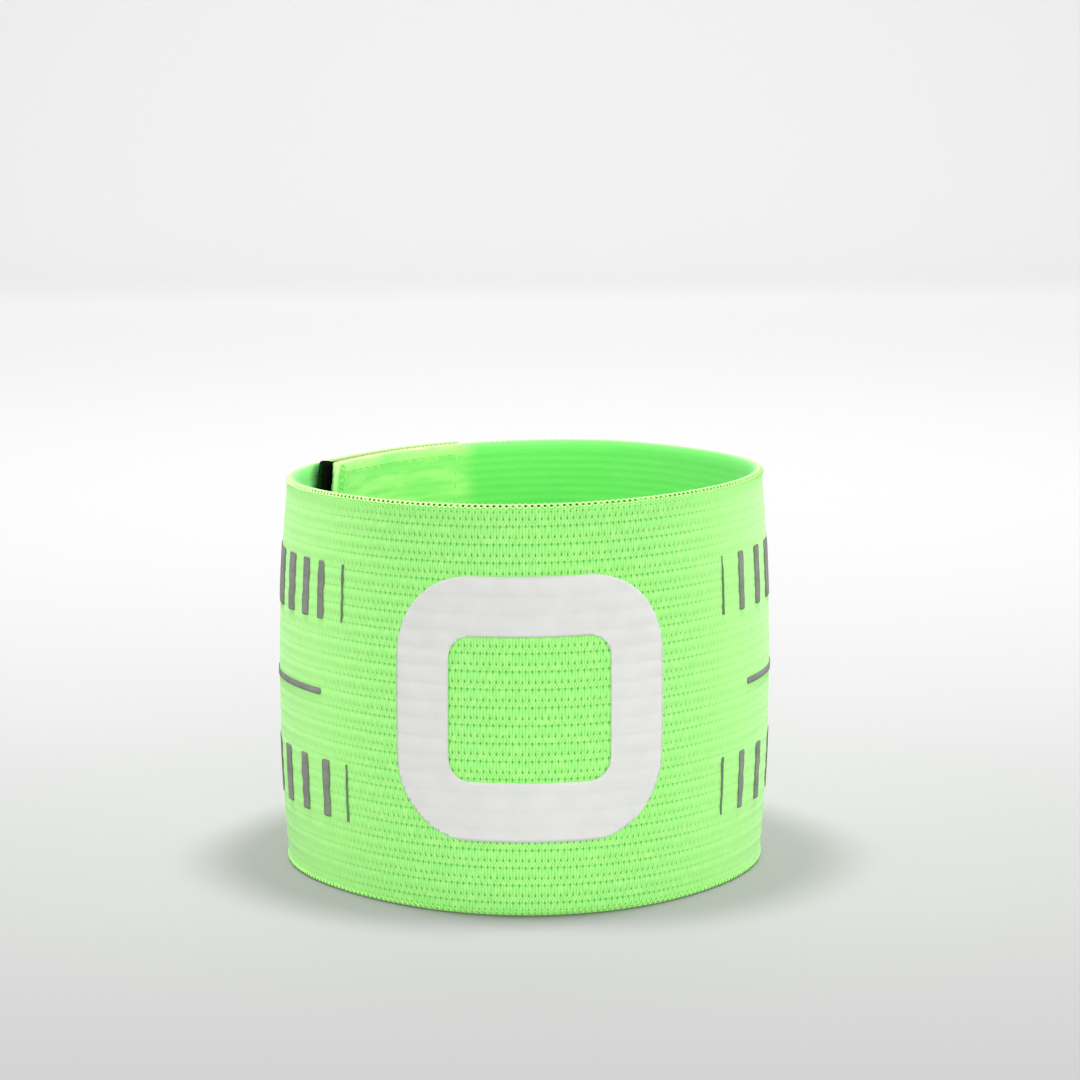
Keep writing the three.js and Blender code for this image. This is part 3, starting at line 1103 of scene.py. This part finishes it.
def make_pile():
    bm = bmesh.new()
    ring = bmesh.ops.create_circle(bm, segments=4, radius=pile_yarn)["verts"]
    bmesh.ops.translate(bm, verts=ring, vec=(pile_radius, 0, 0))
    bmesh.ops.spin(
        bm, geom=bm.verts[:] + bm.edges[:], cent=(0, 0, 0), axis=(0, 1, 0),
        angle=pile_turn, steps=pile_rings, dvec=(0, 0, 0), use_merge=False,
    )
    bmesh.ops.recalc_face_normals(bm, faces=bm.faces)
    each = len(bm.verts)
    mesh = copied(bm, pile_count, 1.0)
    copy = np.arange(pile_count * each) // each
    points = mesh_points(mesh) - np.column_stack([copy, copy * 0, copy * 0])
    spin_by = rng.uniform(0, full_turn, pile_count)[copy]
    size = rng.uniform(pile_size["low"], pile_size["high"], pile_count)[copy]
    along = rng.uniform(lap_length - 1 * mm, pad_end, pile_count)
    stray = rng.random(pile_count) < stray_share
    along = np.where(stray, pad_end + np.abs(rng.normal(0, stray_reach, pile_count)), along)[copy]
    height = rng.uniform(pile_lowest, strip_height, pile_count)[copy]
    x, y, z = (points * size[:, None]).T
    flat_x = x * np.cos(spin_by) - y * np.sin(spin_by)
    flat_y = x * np.sin(spin_by) + y * np.cos(spin_by)
    face = -wall - pad_gap - pad_wall
    placed = np.column_stack([along + flat_x, height + flat_y, face - np.abs(z) * pile_flat])
    mesh.vertices.foreach_set("co", placed.ravel())
    return finish_mesh("pile_loops", mesh, pad_pile)


make_pile()

# %% [markdown]
# Both pads are held by a box of lime stitches. On the face away from a pad each stitch is a short dash
# that lies half sunk in the knit, so a dash is a stretched ball, copied along the box.

# %% Seams round the pads
stitch_run = 2.4 * mm
stitch_long = 1.7 * mm
stitch_wide = 0.34 * mm
seam_margin = 1.6 * mm
seam_sink = 0.06 * mm


def make_seam(name, start, long, lift, thread):
    """Stitches round a box that lies in from the pad's edges."""
    low, high = pad_margin + seam_margin, strip_height - pad_margin - seam_margin
    left, right = start + seam_margin, start + long - seam_margin
    corners = np.array([(left, low), (right, low), (right, high), (left, high), (left, low)])
    places, headings = [], []
    for (x0, y0), (x1, y1) in zip(corners[:-1], corners[1:]):
        count = round(math.hypot(x1 - x0, y1 - y0) / stitch_run)
        for share in (np.arange(count) + 0.5) / count:
            places.append((x0 + (x1 - x0) * share, y0 + (y1 - y0) * share))
            headings.append((np.sign(x1 - x0), np.sign(y1 - y0)))
    bm = bmesh.new()
    bmesh.ops.create_uvsphere(bm, u_segments=8, v_segments=6, radius=0.5)
    bmesh.ops.scale(bm, verts=bm.verts, vec=(stitch_long, stitch_wide, stitch_wide * 0.8))
    each = len(bm.verts)
    mesh = copied(bm, len(places), 1.0)
    copy = np.arange(len(places) * each) // each
    x, y, z = (mesh_points(mesh) - np.column_stack([copy, copy * 0, copy * 0])).T
    middle = np.array(places)[copy]
    heading = np.array(headings)[copy]
    placed = np.column_stack([
        middle[:, 0] + x * heading[:, 0] - y * heading[:, 1],
        middle[:, 1] + x * heading[:, 1] + y * heading[:, 0],
        lift + z,
    ])
    mesh.vertices.foreach_set("co", placed.ravel())
    return finish_mesh(name, mesh, thread)


inner_thread = thread_finish("thread_inner", inner_pale, inner_lime)
make_seam("seam_loop_pad", pad_inset, loop_pad_length, -seam_sink, chain_thread)
make_seam("seam_hook_pad", hook_start, hook_pad_length, seam_sink - wall, inner_thread)


# %% [markdown]
# Cut knit frays, so each end of the strip is sewn over with a zigzag. It is the same straight thread as on
# the rims, laid upright and swung from side to side.

# %% Zigzag over each cut end
end_zigzag_from = 0.7 * mm
end_zigzag_margin = 0.8 * mm
end_zigzag_lift = 0.02 * mm
end_zigzag_width = 1.8 * mm
end_zigzag_radius = 0.12 * mm


def make_end_zigzag(name, start, lift):
    """A thread that runs up the strip and swings from side to side, so the cut end can't fray."""
    stitches = round((strip_height - 2 * end_zigzag_margin) / wale)
    mesh = straight_thread(end_zigzag_radius, stitches, rings=4)
    climb, across, out = mesh_points(mesh).T
    swing = np.abs((climb / wale) % 1 - 0.5) * 2
    along = start + swing * end_zigzag_width + across
    placed = np.column_stack([along, climb + end_zigzag_margin, lift + out])
    mesh.vertices.foreach_set("co", placed.ravel())
    return finish_mesh(name, mesh, chain_thread)


inner_zigzag_from = strip_length - end_zigzag_from - end_zigzag_width
make_end_zigzag("zigzag_outer_end", end_zigzag_from, end_zigzag_lift)
make_end_zigzag("zigzag_inner_end", inner_zigzag_from, -wall - end_zigzag_lift)

# %% [markdown]
# The floor and the backdrop are one pale sheet that curves up behind the armband, so that no line shows where
# they meet. The paper is painted darker near the camera and paler behind, a painted falloff of the light.

# %% Floor and backdrop
def make_backdrop():
    reach, wall_distance, bend, wall_top = 3.0, 1.8, 0.7, 3.0
    sweep = bmesh.new()
    bmesh.ops.create_grid(sweep, x_segments=1, y_segments=1, size=reach)
    back = [vert for vert in sweep.verts if vert.co.y > 0]
    for vert in back:
        vert.co.y = wall_distance
    edge = [edge for edge in sweep.edges if all(vert in back for vert in edge.verts)]
    bent = bmesh.ops.spin(
        sweep, geom=edge, cent=(0, wall_distance, bend), axis=(1, 0, 0),
        angle=math.pi / 2, steps=24, dvec=(0, 0, 0), use_merge=False,
    )
    last = [item for item in bent["geom_last"] if isinstance(item, bmesh.types.BMEdge)]
    raised = bmesh.ops.extrude_edge_only(sweep, edges=last)["geom"]
    top = [item for item in raised if isinstance(item, bmesh.types.BMVert)]
    bmesh.ops.translate(sweep, verts=top, vec=(0, 0, wall_top))
    bmesh.ops.recalc_face_normals(sweep, faces=sweep.faces)
    mesh = bpy.data.meshes.new("backdrop")
    sweep.to_mesh(mesh)
    sweep.free()
    mesh.shade_smooth()
    backdrop = bpy.data.objects.new("backdrop", mesh)
    scene.collection.objects.link(backdrop)
    return backdrop


paper_near = tint(113, 113, 113)
paper_back = tint(242, 242, 242)
paper_wall = tint(238, 238, 238)
paper_from = -0.45
paper_run = 1.98


def paper_finish():
    finish = Finish("paper", Roughness=0.95, Specular_IOR_Level=0.1)
    place = finish.add("ShaderNodeTexCoord", output="Object")
    parts = finish.add("ShaderNodeSeparateXYZ", None, place).socket.node
    back = Signal(finish, parts.outputs[1])
    up = Signal(finish, parts.outputs[2])
    # Painted falloff of the light: darker near the camera, paler behind and on the wall.
    floor = finish.mix((back - paper_from) / paper_run, paper_near, paper_back)
    return finish.wear(finish.mix(up.step(0.2, 1.6), floor, paper_wall))


backdrop = make_backdrop()
backdrop.data.materials.append(paper_finish())


# %% [markdown]
# Two small lights high above give the soft shadows to both sides and pick out the ribs. Weak lights at the
# sides lift the edges, one in front lights the films, one behind brightens the backdrop, and a white world
# fills the rest. One large light would be simpler, but it would leave no shadow beside the strip.

# %% Lights
world_strength = 0.42
lights = [
    {"name": "right", "place": (0.2, 0.05, 1.2), "target": (0, 0, 0), "size": 0.25, "power": 13.0},
    {"name": "left", "place": (-0.2, 0.05, 1.2), "target": (0, 0, 0), "size": 0.25, "power": 11.5},
    {"name": "right_side", "place": (1.3, -0.6, 0.35), "target": (0, 0, 0.03), "size": 0.8, "power": 4.6},
    {"name": "left_side", "place": (-1.3, -0.6, 0.35), "target": (0, 0, 0.03), "size": 0.8, "power": 4.1},
    {"name": "front", "place": (0.2, -1.5, 0.45), "target": (0, 0, 0.03), "size": 1.0, "power": 10.3},
    {"name": "back", "place": (0.0, 1.5, 2.0), "target": (0, 2.3, 0.2), "size": 1.5, "power": 12.0},
]


def add_light(name, place, target, size, power):
    data = bpy.data.lights.new(name + "_light", "AREA")
    data.shape = "DISK"
    data.size = size
    data.energy = power
    light = bpy.data.objects.new(name + "_light", data)
    scene.collection.objects.link(light)
    turned = (Vector(target) - Vector(place)).to_track_quat("-Z", "Y").to_matrix().to_4x4()
    light.matrix_world = Matrix.Translation(place) @ turned


for light in lights:
    add_light(**light)
world = bpy.data.worlds.new("studio")
scene.world = world
world.use_nodes = True
background = world.node_tree.nodes["Background"]
background.inputs["Color"].default_value = (1, 1, 1, 1)
background.inputs["Strength"].default_value = world_strength
